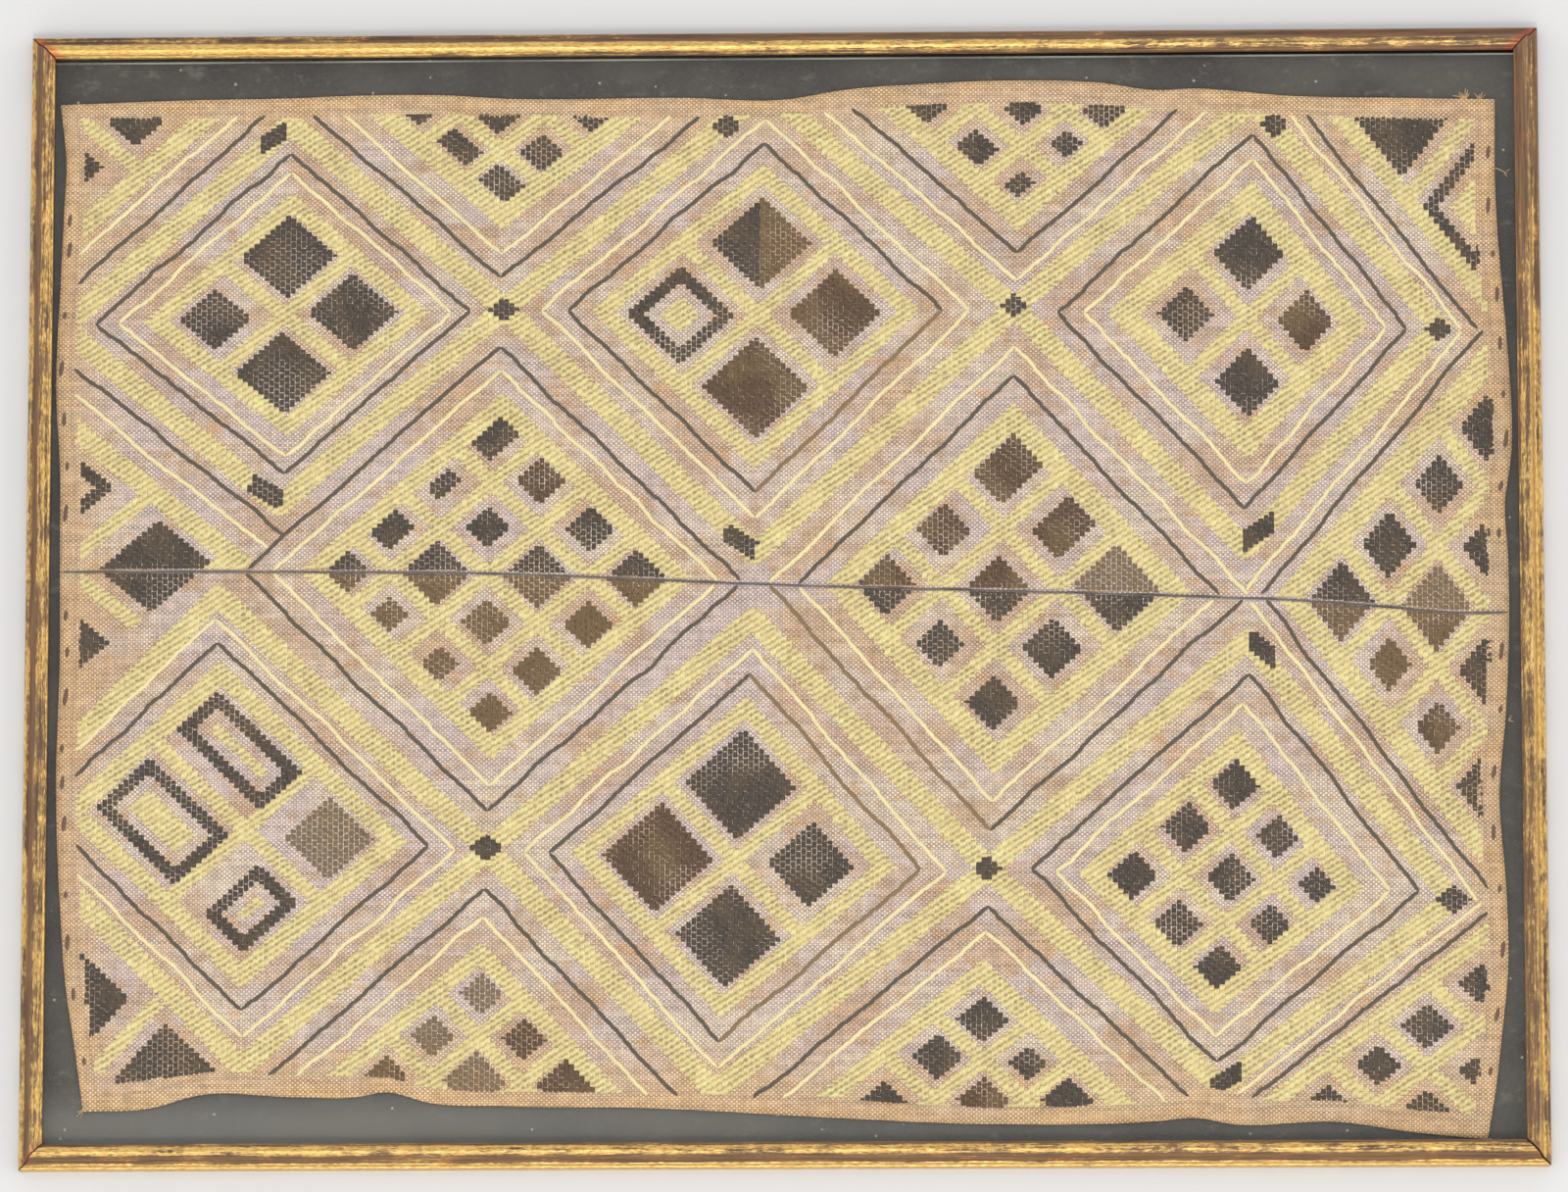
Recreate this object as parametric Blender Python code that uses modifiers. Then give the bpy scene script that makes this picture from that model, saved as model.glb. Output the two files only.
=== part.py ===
"""Framed cut-pile raffia cloth, lying on its back with its face up.

A thin gilt moulding holds a glass pane, a two-panel cloth and a charcoal board.
Metres, +Z up. +X runs along the long side, +Y towards the top of the picture, and the
origin is the centre of the frame's back.
"""

import math

import bmesh
import bpy
import numpy as np

# Frame
FRAME_WIDTH = 0.700
FRAME_HEIGHT = 0.530
CLEARANCE = 0.0003
OPEN_MITRE = 0.0009

# Moulding section: distances inwards from the outer edge, and heights above the back.
# From outside in: a rounded lip, a cove, and a broad rounded ridge that ends at the sight edge.
RAIL_FACE = 0.0112
LIP_ROUND = 0.0011
LIP_WIDTH = 0.0022
LIP_TOP = 0.0074
COVE_REACH = 0.0022
COVE_TOP = 0.0114
RIDGE_CREST = 0.0074
RIDGE_BASE = 0.0118
CREST_HEIGHT = 0.0160
INNER_REACH = 0.0035
INNER_END = 30
SIGHT_TOP = 0.0132
REBATE_WIDTH = 0.0054
REBATE_DEPTH = 0.0100
ARC_STEPS = 7

# What lies in the rebate
GLASS_THICK = 0.0020
BOARD_THICK = 0.0030
CLOTH_THICK = 0.0012
HEM_THICK = 0.0018
COCKLE = 0.00025
COCKLE_EASE = 0.040

# Hems, measured inwards from the cloth's edge
HEM_WIDTH = 0.0062
SIDE_HEM_WIDTH = 0.0085
ROLL = 0.0010

# How finely the panels are divided
FIELD_COLUMNS = 36
FIELD_ROWS = 9

GLASS_TOP = REBATE_DEPTH - CLEARANCE
GLASS_BASE = GLASS_TOP - GLASS_THICK
CLOTH_BASE = GLASS_BASE - CLEARANCE - HEM_THICK
BOARD_TOP = CLOTH_BASE - CLEARANCE
CLOTH_REACH = 0.335
PANEL_HEIGHT = 0.235

# The cloth's uneven edges, in millimetres from the frame's centre.
# Columns: distance along the edge, then the edge's own place.
TOP_HEM = (
    (-337, 233.0), (-273, 234.9), (-228, 235.5), (-191, 236.7), (-153, 236.4), (-131, 234.9),
    (-44, 234.5), (7, 233.6), (30, 237.5), (66, 240.2), (109, 241.6), (153, 240.1),
    (175, 236.8), (196, 237.2), (241, 233.4), (287, 232.2), (337, 231.2),
)
BOTTOM_HEM = (
    (-337, -238.2), (-302, -236.5), (-280, -230.9), (-234, -231.7), (-204, -231.8), (-190, -229.6),
    (-170, -234.5), (-134, -236.2), (-67, -237.3), (23, -242.1), (90, -245.1), (179, -244.0),
    (194, -242.7), (213, -245.7), (262, -244.8), (299, -249.6), (337, -253.4),
)
LEFT_EDGE = (
    (-238, -320.7), (-210, -324.7), (-181, -329.3), (-144, -332.4), (-87, -335.0), (-28, -333.9),
    (24, -334.5), (63, -335.0), (97, -337.2), (149, -335.6), (179, -334.6), (205, -333.6), (233, -336.6),
)
RIGHT_EDGE = (
    (-253, 321.2), (-225, 325.9), (-208, 327.9), (-173, 331.5), (-138, 331.0), (-95, 328.4),
    (-54, 332.0), (22, 333.4), (39, 332.4), (63, 335.6), (115, 334.5), (136, 332.9),
    (183, 329.9), (231, 330.0),
)
SEAM = (
    (-337, 12.6), (-249, 12.2), (-135, 10.7), (-4, 4.9), (181, -1.3),
    (245, -4.2), (279, -7.1), (313, -10.0), (337, -9.7),
)


def clear_scene():
    for thing in list(bpy.data.objects):
        bpy.data.objects.remove(thing, do_unlink=True)


def new_collection(name):
    collection = bpy.data.collections.new(name)
    bpy.context.scene.collection.children.link(collection)
    return collection


def material(name, colour, roughness, metallic=0.0, transmission=0.0):
    made = bpy.data.materials.new(name)
    made.use_nodes = True
    shader = made.node_tree.nodes["Principled BSDF"]
    shader.inputs["Base Color"].default_value = (*colour, 1.0)
    shader.inputs["Roughness"].default_value = roughness
    shader.inputs["Metallic"].default_value = metallic
    shader.inputs["Transmission Weight"].default_value = transmission
    return made


def add_object(name, bm, finish, collection):
    mesh = bpy.data.meshes.new(name)
    bm.to_mesh(mesh)
    bm.free()
    mesh.materials.append(finish)
    made = bpy.data.objects.new(name, mesh)
    collection.objects.link(made)
    return made


def eased(table, place):
    """A smooth curve through a table's rows (Catmull-Rom tangents), read at a place; all in metres."""
    along, across = np.array(table, float).T / 1000.0
    slopes = np.gradient(across, along)
    place = min(max(place, along[0]), along[-1])
    i = min(int(np.searchsorted(along, place, side="right")) - 1, len(along) - 2)
    step = along[i + 1] - along[i]
    t = (place - along[i]) / step
    rise = across[i] * (2 * t**3 - 3 * t**2 + 1) + across[i + 1] * (3 * t**2 - 2 * t**3)
    lean = slopes[i] * (t**3 - 2 * t**2 + t) + slopes[i + 1] * (t**3 - t**2)
    return rise + lean * step


def arc(centre, radius_in, radius_up, start, end):
    """Points on an ellipse's arc between two angles in degrees."""
    angles = np.radians(np.linspace(start, end, ARC_STEPS))
    return [(centre[0] + radius_in * math.cos(a), centre[1] + radius_up * math.sin(a)) for a in angles]


def moulding_section():
    """The moulding's outline as (distance inwards, height) pairs, round from its outer back corner."""
    lip = arc((LIP_ROUND, LIP_TOP - LIP_ROUND), LIP_ROUND, LIP_ROUND, 180, 90)
    cove = arc((LIP_WIDTH, COVE_TOP), COVE_REACH, COVE_TOP - LIP_TOP, -90, 0)
    ridge_reach = RIDGE_CREST - LIP_WIDTH - COVE_REACH
    ridge_rise = CREST_HEIGHT - RIDGE_BASE
    outer_ridge = arc((RIDGE_CREST, RIDGE_BASE), ridge_reach, ridge_rise, 180, 90)
    inner_ridge = arc((RIDGE_CREST, RIDGE_BASE), INNER_REACH, ridge_rise, 90, INNER_END)[1:]
    back = [
        (RAIL_FACE, SIGHT_TOP),
        (RAIL_FACE, REBATE_DEPTH),
        (RAIL_FACE - REBATE_WIDTH, REBATE_DEPTH),
        (RAIL_FACE - REBATE_WIDTH, 0.0),
    ]
    return [(0.0, 0.0)] + lip + cove + outer_ridge + inner_ridge + back


def rail(name, length, gaps, finish, collection):
    """A length of moulding along X, its outer edge at y = 0 and its face inwards, mitred at both ends.

    gaps are the widths of the left and right mitre joints; each rail gives up half of one.
    """
    bm = bmesh.new()
    ring = [bm.verts.new((0.0, inwards, height)) for inwards, height in moulding_section()]
    face = bm.faces.new(ring)
    far = bmesh.ops.extrude_face_region(bm, geom=[face])["geom"]
    far_verts = {v for v in far if isinstance(v, bmesh.types.BMVert)}
    for vert in bm.verts:
        side, gap = (1, gaps[1]) if vert in far_verts else (-1, gaps[0])
        vert.co.x = side * (length / 2 - vert.co.y - gap * math.sqrt(0.5))
    bmesh.ops.recalc_face_normals(bm, faces=bm.faces)
    made = add_object(name, bm, finish, collection)
    made.data.shade_smooth()
    made.data.set_sharp_from_angle(angle=math.radians(32))
    return made


def frame(finish, collection):
    """Four rails, anticlockwise from the bottom one. The bottom right mitre has opened a little."""
    joints = {"bottom_left": CLEARANCE, "bottom_right": OPEN_MITRE, "top_right": CLEARANCE, "top_left": CLEARANCE}
    rows = (
        ("rail_bottom", FRAME_WIDTH, "bottom_left", "bottom_right", (0, -FRAME_HEIGHT / 2), 0),
        ("rail_right", FRAME_HEIGHT, "bottom_right", "top_right", (FRAME_WIDTH / 2, 0), 90),
        ("rail_top", FRAME_WIDTH, "top_right", "top_left", (0, FRAME_HEIGHT / 2), 180),
        ("rail_left", FRAME_HEIGHT, "top_left", "bottom_left", (-FRAME_WIDTH / 2, 0), 270),
    )
    for name, length, first, second, place, turn in rows:
        made = rail(name, length, (joints[first], joints[second]), finish, collection)
        made.location = (*place, 0.0)
        made.rotation_euler.z = math.radians(turn)


def flat_pane(name, base, thickness, finish, collection):
    """A plain sheet that fills the rebate with a clearance all round."""
    inset = 2 * (RAIL_FACE - REBATE_WIDTH + CLEARANCE)
    bm = bmesh.new()
    bmesh.ops.create_cube(bm, size=1.0)
    bmesh.ops.scale(bm, vec=(FRAME_WIDTH - inset, FRAME_HEIGHT - inset, thickness), verts=bm.verts)
    made = add_object(name, bm, finish, collection)
    made.location.z = base + thickness / 2
    return made


def stations(total, near, far, count):
    """Distances along a panel: close together over a hem at each end, or at one end only, and even between."""
    start = [0.0, ROLL, near - ROLL, near] if near else [0.0]
    end = [total - far, total - far + ROLL, total - ROLL, total] if far else [total]
    return np.array(start + list(np.linspace(start[-1], end[0], count + 1)[1:-1]) + end)


def cockle(x, y):
    """How far the field lifts off the board: low, uneven waves that die out at the seam and the hems."""
    wave = math.sin(31 * x + 9 * y + 0.6) + math.sin(17 * x - 26 * y + 1.9)
    room = min(1.0, abs(y - eased(SEAM, x)) / COCKLE_EASE)
    return COCKLE * room * (wave / 2) ** 2


def panel(name, hem, seam_side, finish, collection):
    """A panel from its wavy hem to the seam, thicker where its three outer edges are turned under.

    seam_side is +1 above the seam and -1 below it. Solidify raises the thickness from the back of the cloth.
    """
    columns = stations(2 * CLOTH_REACH, SIDE_HEM_WIDTH, SIDE_HEM_WIDTH, FIELD_COLUMNS)
    rows = stations(PANEL_HEIGHT, HEM_WIDTH, 0.0, FIELD_ROWS)
    bm = bmesh.new()
    bmesh.ops.create_grid(bm, x_segments=len(columns) - 1, y_segments=len(rows) - 1, size=1.0)
    weights = []
    for vert in bm.verts:
        column = round((vert.co.x + 1) / 2 * (len(columns) - 1))
        row = round((vert.co.y * -seam_side + 1) / 2 * (len(rows) - 1))
        along, down = columns[column], rows[row]
        x = along - CLOTH_REACH
        seam = eased(SEAM, x) + seam_side * CLEARANCE / 2
        y = eased(hem, x) + (seam - eased(hem, x)) * down / PANEL_HEIGHT
        left, right = eased(LEFT_EDGE, y), eased(RIGHT_EDGE, y)
        in_hem = down < HEM_WIDTH or min(along, 2 * CLOTH_REACH - along) < SIDE_HEM_WIDTH
        rolled_off = down == 0.0 or along in (0.0, columns[-1])
        vert.co.x = left + (right - left) * along / (2 * CLOTH_REACH)
        vert.co.y = y
        vert.co.z = CLOTH_BASE + (0.0 if in_hem else cockle(x, y))
        weights.append(1.0 if in_hem and not rolled_off else CLOTH_THICK / HEM_THICK)
    bmesh.ops.recalc_face_normals(bm, faces=bm.faces)
    if next(iter(bm.faces)).normal.z < 0:
        bmesh.ops.reverse_faces(bm, faces=bm.faces)
    made = add_object(name, bm, finish, collection)
    group = made.vertex_groups.new(name="thickness")
    for index, weight in enumerate(weights):
        group.add([index], weight, "REPLACE")
    cloth = made.modifiers.new("cloth", "SOLIDIFY")
    cloth.thickness = HEM_THICK
    cloth.offset = 1.0
    cloth.vertex_group = group.name
    return made


def main():
    clear_scene()
    parts = new_collection("framed_raffia_cloth")
    gilt = material("worn_gilt", (0.42, 0.25, 0.085), 0.38, metallic=0.75)
    glass = material("clear_glass", (0.95, 0.98, 0.96), 0.03, transmission=1.0)
    board = material("charcoal_board", (0.075, 0.078, 0.075), 0.9)
    raffia = material("raffia", (0.62, 0.46, 0.24), 0.85)
    frame(gilt, parts)
    flat_pane("glass_pane", GLASS_BASE, GLASS_THICK, glass, parts)
    flat_pane("backing_board", BOARD_TOP - BOARD_THICK, BOARD_THICK, board, parts)
    panel("cloth_upper", TOP_HEM, 1, raffia, parts)
    panel("cloth_lower", BOTTOM_HEM, -1, raffia, parts)


main()
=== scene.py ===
"""Looks for the framed cut-pile raffia cloth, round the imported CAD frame.

The cloth's two panels are fine sheets with hems. On them lie the cut pile, one small cushion of fibres for
each stitch, and the stem-stitched lines. Lengths in the tables are millimetres from the frame's centre.
"""

import math
from collections import namedtuple

import bpy
import numpy as np
from mathutils import Matrix, Vector


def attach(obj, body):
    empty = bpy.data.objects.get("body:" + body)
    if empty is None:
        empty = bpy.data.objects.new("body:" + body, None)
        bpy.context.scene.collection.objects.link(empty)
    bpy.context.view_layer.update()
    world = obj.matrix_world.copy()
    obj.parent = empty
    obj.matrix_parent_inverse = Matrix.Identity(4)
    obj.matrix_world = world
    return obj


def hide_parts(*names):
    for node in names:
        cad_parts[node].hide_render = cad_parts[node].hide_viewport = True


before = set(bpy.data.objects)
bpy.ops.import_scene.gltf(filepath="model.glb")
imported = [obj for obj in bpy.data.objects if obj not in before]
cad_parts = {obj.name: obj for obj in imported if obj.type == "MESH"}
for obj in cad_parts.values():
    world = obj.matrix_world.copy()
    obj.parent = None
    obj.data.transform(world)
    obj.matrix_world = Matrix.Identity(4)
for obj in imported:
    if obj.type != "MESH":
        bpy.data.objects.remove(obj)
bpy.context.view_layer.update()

MM = 0.001

# The cloth's heights above the frame's back, as the CAD has them
CLOTH_BASE = 5.6
FIELD_TOP = 6.8
HEM_TOP = 7.35
CLOTH_REACH = 335.0
PANEL_HEIGHT = 235.0
SEAM_GAP = 0.3
COCKLE = 0.25
COCKLE_EASE = 40.0

# Weave and pile
WARP_PITCH = 1.19
WEFT_PITCH = 1.03
PILE_COLUMN = 2.42
PILE_ROW = 3.1
PILE_HEIGHT = 0.38
PILE_SINK = 0.12
SHORTEST_STITCH = 1.1
PILE_REACH = 331
PILE_LOW = -252
PILE_HIGH = 242
PILE_STEP = 0.4
# Pile stops this far from the turned hems and from the seam
HEM_CLEAR = 0.3
SEAM_CLEAR = 0.9
# Half widths of the bands between lozenges and of the bars inside them
BAND_HALF = 4.9
BAR_HALF = 3.35
# What the charts' sizes gain, so that the pile's splayed ends cover as much as in the photograph
FRAME_GAIN = 0.012
MOTIF_GAIN = 1.1
# A ring motif's wall, and what is left off its size for the yellow core
RING_WALL = 5.8
RING_CORE = 10.8
SMALLEST_CORE = 1.5
# The side hems' width
SIDE_MARGIN = 8.4
# Stem-stitched lines: half widths, height, a stitch's length, the space between their samples
CREAM_HALF = 1.06
DARK_HALF = 0.98
LINE_HEIGHT = 0.30
LINE_STITCH = 4.6
LINE_STEP = 1.2
# The seam thread: half width, height and a stitch's length
SEAM_HALF = 0.36
SEAM_HEIGHT = 0.28
SEAM_STITCH = 5.2
# Longer than any short strand, so that it is one stitch
ONE_STITCH = 50.0

# Outlines. Columns: distance along the edge, the edge's own place.
TOP_HEM = (
    (-337, 233.0), (-273, 234.9), (-228, 235.5), (-191, 236.7), (-153, 236.4), (-131, 234.9),
    (-44, 234.5), (7, 233.6), (30, 237.5), (66, 240.2), (109, 241.6), (153, 240.1),
    (175, 236.8), (196, 237.2), (241, 233.4), (287, 232.2), (337, 231.2),
)
BOTTOM_HEM = (
    (-337, -238.2), (-302, -236.5), (-280, -230.9), (-234, -231.7), (-204, -231.8), (-190, -229.6),
    (-170, -234.5), (-134, -236.2), (-67, -237.3), (23, -242.1), (90, -245.1), (179, -244.0),
    (194, -242.7), (213, -245.7), (262, -244.8), (299, -249.6), (337, -253.4),
)
LEFT_EDGE = (
    (-238, -320.7), (-210, -324.7), (-181, -329.3), (-144, -332.4), (-87, -335.0), (-28, -333.9),
    (24, -334.5), (63, -335.0), (97, -337.2), (149, -335.6), (179, -334.6), (205, -333.6), (233, -336.6),
)
RIGHT_EDGE = (
    (-253, 321.2), (-225, 325.9), (-208, 327.9), (-173, 331.5), (-138, 331.0), (-95, 328.4),
    (-54, 332.0), (22, 333.4), (39, 332.4), (63, 335.6), (115, 334.5), (136, 332.9),
    (183, 329.9), (231, 330.0),
)
SEAM = (
    (-337, 12.6), (-249, 12.2), (-135, 10.7), (-4, 4.9), (181, -1.3),
    (245, -4.2), (279, -7.1), (313, -10.0), (337, -9.7),
)
# Where the turned hems end, in the same columns
TOP_TURN = (
    (-337, 226.9), (-136, 227.5), (-22, 226.2), (28, 228.2), (69, 230.7), (112, 231.3),
    (146, 230.1), (173, 228.1), (223, 225.2), (273, 224.1), (337, 221.5),
)
BOTTOM_TURN = (
    (-337, -228.5), (-308, -226.5), (-259, -221.3), (-214, -222.8), (-179, -224.3), (-161, -228.9),
    (-107, -230.8), (-49, -231.5), (21, -234.0), (90, -238.3), (130, -238.0), (174, -235.5),
    (197, -230.6), (222, -235.6), (253, -236.7), (284, -239.9), (337, -243.8),
)

# Corners of the wide yellow bands' middle lines: top, right, bottom, left
BANDS = {
    "upper": (
        ((-229, 223), (-129, 135), (-233, 43), (-334, 127)),
        ((-8, 238), (107, 134), (-13, 19), (-129, 135)),
        ((218, 231), (303, 124), (213, 20), (107, 134)),
    ),
    "lower": (
        ((-261, 1), (-136, -118), (-248, -218), (-361, -102)),
        ((-14, -11), (94, -128), (-31, -230), (-136, -118)),
        ((214, -22), (306, -143), (200, -229), (94, -128)),
    ),
}
# Dark knots on the bands. Columns: place, half width, half height, lean (-1 is like a backslash)
KNOTS = (
    (-237, 216.5, 6.2, 7.6, 0.8), (-26, 220.6, 6.3, 5.4, 0), (228, 219.8, 5.8, 6.3, 0),
    (-129.5, 134.5, 6.2, 5.2, 0), (107, 134.9, 5.6, 5.2, 0), (303, 122.5, 5.6, 5.2, 0),
    (-239, 49.4, 7.6, 7.6, -0.7), (-19.5, 24.7, 6.8, 8.0, -0.7), (219.5, 28.4, 6.8, 8.6, 0.7),
    (220.4, -26.4, 5.6, 8.2, -0.5), (-136.4, -117.2, 7.2, 5.6, 0), (93.5, -127.7, 5.8, 5.6, 0),
    (306.8, -143.1, 7.2, 6.0, 0), (202.7, -225.2, 6.8, 6.8, 0.7),
)

# The lozenges, each a four-sided figure with its own two parameters: a runs from its upper left side to its
# lower right side, b from its lower left side to its upper right side, both from -1 to 1.
# top, right, bottom, left: corners of the outer line. frame, shift: the yellow frame's outer edge is that figure
# scaled and moved. inside: where the frame ends inwards. line: how far the inner line lies from the outer one
# towards the frame. across, down: the a and b of the small motifs, with yellow bars between them.
# chart: the motifs, a row for each a and a column for each b, as pile colour, then half sides in millimetres
# along a and b. k black, b brown, o olive, m worn, s half black and half olive, r a ring. A second letter is
# the colour below the seam. upper, lower: thread colours of the outer and inner lines on each panel, "" for no
# lines or frame, None where the lozenge isn't on that panel. browned: sides where the dark thread has faded.
# reach: lowest and highest place.
Lozenge = namedtuple(
    "Lozenge", "top right bottom left frame shift inside line across down chart upper lower browned reach"
)
WHOLE = (-260, 250)
LOZENGES = (
    Lozenge((-229, 209), (-145, 134), (-231, 58), (-319, 129), 0.764, (1.4, -0.3), 0.84, 0.48,
            (-0.50, 0.44), (-0.51, 0.47), ("k10x10 k14x14", "k14x14 k13x13"), "dark cream", None, "", WHOLE),
    Lozenge((-8, 224), (86, 133), (-13, 36), (-112, 134), 0.768, (-0.2, 0.3), 0.87, 0.54,
            (-0.45, 0.48), (-0.48, 0.47), ("r16x16 s15x15", "b16x16 b14x14"), "cream dark", None, "LR", WHOLE),
    Lozenge((218, 215), (288, 123), (213, 39), (127, 132), 0.748, (1.5, 0.6), 0.78, 0.53,
            (-0.45, 0.48), (-0.42, 0.49), ("k8x8 k11x11", "k10x10 b9x9"), "dark cream", None, "", WHOLE),
    Lozenge((-262, -10), (-151, -118), (-248, -204), (-355, -98), 0.785, (0.5, 1.3), 0.86, 0.56,
            (-0.39, 0.58), (-0.42, 0.53), ("r25x16 r26x12", "r12x16 m13x13"), None, "cream dark", "", WHOLE),
    Lozenge((-14, -25), (75, -129), (-30, -219), (-119, -119), 0.769, (-0.7, 0.4), 0.87, 0.53,
            (-0.45, 0.49), (-0.48, 0.46), ("b17x17 k17x17", "k16x16 k13x13"), None, "cream dark", "UR LR", WHOLE),
    Lozenge((214, -38), (291, -139), (198, -217), (114, -128), 0.738, (-2.4, -1.4), 0.83, 0.53,
            (-0.61, 0.06, 0.67), (-0.64, 0.04, 0.65), ("k7x7 k7x7 k7x7", "k7x7 k7x7 k6x6", "k7x7 k6x6 k5x5"),
            None, "dark cream", "", WHOLE),
    Lozenge((-131, 117), (-19, 6), (-136, -100), (-249, 12), 0.793, (1.5, 0.9), 0.88, 0.50,
            (-0.77, -0.31, 0.21, 0.73), (-0.76, -0.30, 0.21, 0.73),
            ("ko7x7 k5x7 k3x6 k5x9", "o5x5 ko10x10 k6x6 b7x7",
             "o5x5 o7x7 ko10x10 k7x7", "o6x6 o7x7 o7x7 ko10x10"),
            "dark cream", "dark cream", "", WHOLE),
    Lozenge((107, 116), (214, -1), (95, -110), (-7, 5), 0.769, (0.6, -0.3), 0.85, 0.52,
            (-0.66, -0.04, 0.58), (-0.65, -0.05, 0.63),
            ("bk9x9 b8x8 b9x13", "k7x7 bk10x10 b8x11", "k8x8 k9x9 mk14x14"),
            "cream dark", "dark cream", "LL", WHOLE),
    Lozenge((-125, 319), (-29, 233), (-131, 150), (-227, 235), 0.737, (0, 0), 0.81, 0.51,
            (-0.46, 0.07, 0.64), (-0.66, -0.18, 0.43), ("k4x4 - -", "k8x4 k6x6 -", "k8x5 k6x6 k6x6"),
            "dark cream", None, "", WHOLE),
    Lozenge((113, 313), (211, 239), (108, 147), (10, 236), 0.731, (0, 0), 0.82, 0.55,
            (-0.53, 0.12, 0.67), (-0.66, -0.08, 0.40), ("k6x6 - -", "k6x5 k5x5 -", "k3x4 k4x4 k6x6"),
            "cream dark", None, "", WHOLE),
    Lozenge((-137, -136), (-41, -240), (-150, -333), (-245, -230), 0.753, (0, 0), 0.863, 0.53,
            (-0.65, -0.11, 0.45), (-0.37, 0.15, 0.70), ("b6x6 m6x6 m6x6", "- m9x9 b6x6", "- - b9x9"),
            None, "dark cream", "", WHOLE),
    Lozenge((94, -145), (192, -240), (76, -334), (-22, -240), 0.741, (0, 0), 0.845, 0.475,
            (-0.57, 0.0, 0.49), (-0.43, 0.15, 0.63), ("k6x6 k7x7 k7x7", "- b7x7 k5x5", "- - k7x7"),
            None, "dark cream", "", WHOLE),
    Lozenge((340, 153), (473, -28), (345, -179), (212, 0), 0.887, (0, 0), 0.90, 0.56,
            (-0.74, -0.37, 0.0, 0.35), (-0.74, -0.35, 0.06, 0.45),
            ("ko11x11 k9x9 k8x8 k9x9", "o7x7 mo12x12 k8x8 -", "b7x7 k9x9 - -", "k9x9 - - -"),
            "cream dark", "cream dark", "", (-144, 122.5)),
    Lozenge((311, 355), (427, 201), (340, 88), (223, 241), 0.755, (-2.6, -2.4), 0.86, 0.41,
            (-0.44, 0.30), (-0.50,), ("k17x17", "r18x18"), "cream dark", None, "", (122.5, 250)),
    Lozenge((346, -123), (447, -220), (290, -343), (188, -247), 0.865, (0, 0), 0.88, 0.62,
            (-0.66, -0.17), (-0.59, -0.25, 0.08, 0.44), ("k6x6 k6x6 k7x7 k6x6", "- k6x6 k4x4 -"),
            None, "cream dark", "", (-260, -144)),
    Lozenge((-320, 319), (-228, 239), (-336, 141), (-429, 221), 0.78, (0, 0), 0.82, 0.70,
            (0.46,), (-0.33, 0.24), ("k5x5 k8x8",), "dark cream", None, "", WHOLE),
    Lozenge((-355, 130), (-212, 14), (-320, -77), (-463, 39), 0.742, (0, 0), 0.83, 0.55,
            (-0.27, 0.62), (-0.62, 0.40), ("- r16x16", "k11x11 kk17x17"), "dark cream", "", "", WHOLE),
    Lozenge((-342, -135), (-243, -228), (-288, -278), (-387, -185), 1.0, (0, 0), 1.2, 0.5,
            (-0.26, 0.51), (0.30,), ("k14x14", "k16x17"), None, "", "", WHOLE),
)


def linear(red, green, blue):
    """A screen colour of 0 to 255 as linear light."""
    return tuple(
        (v / 255 / 12.92) if v <= 10 else ((v / 255 + 0.055) / 1.055) ** 2.4 for v in (red, green, blue)
    )


TONES = {
    "yellow": linear(255, 236, 174),
    "cream": linear(255, 240, 190),
    "dark": linear(102, 92, 82),
    "faded": linear(150, 124, 92),
    "k": linear(80, 71, 64),
    "b": linear(102, 78, 59),
    "o": linear(124, 100, 70),
    "m": linear(134, 114, 90),
    # slot: painted shade in the slots between yellow stitches, over the browner ground there
    "slot": linear(78, 50, 26),
    "dot": linear(244, 224, 188),
    "seam": linear(112, 112, 120),
    "stitch": linear(126, 98, 84),
    "fray": linear(226, 196, 146),
}
PILE_CODES = ("", "yellow", "k", "b", "o", "m")


def eased(table, place):
    """Reads a table at many places: cubic Hermite pieces whose slopes are the table's own gradients."""
    along, across = np.array(table, float).T
    slopes = np.gradient(across, along)
    place = np.clip(place, along[0], along[-1])
    i = np.clip(np.searchsorted(along, place, side="right") - 1, 0, len(along) - 2)
    step = along[i + 1] - along[i]
    t = (place - along[i]) / step
    rise = across[i] * (2 * t**3 - 3 * t**2 + 1) + across[i + 1] * (3 * t**2 - 2 * t**3)
    lean = slopes[i] * (t**3 - 2 * t**2 + t) + slopes[i + 1] * (t**3 - t**2)
    return rise + lean * step


def smooth(low, high, value):
    """0 below low, 1 above high, and 3t^2 - 2t^3 between."""
    t = np.clip((value - low) / (high - low), 0.0, 1.0)
    return t * t * (3 - 2 * t)


def ripple(x, y, seed, size):
    """Smooth hand-made unevenness from -1 to 1: four sine waves in different directions, about size across."""
    rng = np.random.default_rng(seed)
    total = np.zeros(np.broadcast(x, y).shape)
    for _ in range(4):
        angle, phase = rng.uniform(0, 2 * math.pi, 2)
        length = size * rng.uniform(0.6, 1.6)
        total += np.sin(2 * math.pi * (x * math.cos(angle) + y * math.sin(angle)) / length + phase)
    return total / 4


def hem_depth(x, y):
    """How far inside the turned hems a place lies, in millimetres; negative on the hem itself."""
    top = eased(TOP_TURN, x) - y
    bottom = y - eased(BOTTOM_TURN, x)
    sides = np.minimum(x - eased(LEFT_EDGE, y), eased(RIGHT_EDGE, y) - x) - SIDE_MARGIN
    return np.minimum(np.minimum(top, bottom), sides)


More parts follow.
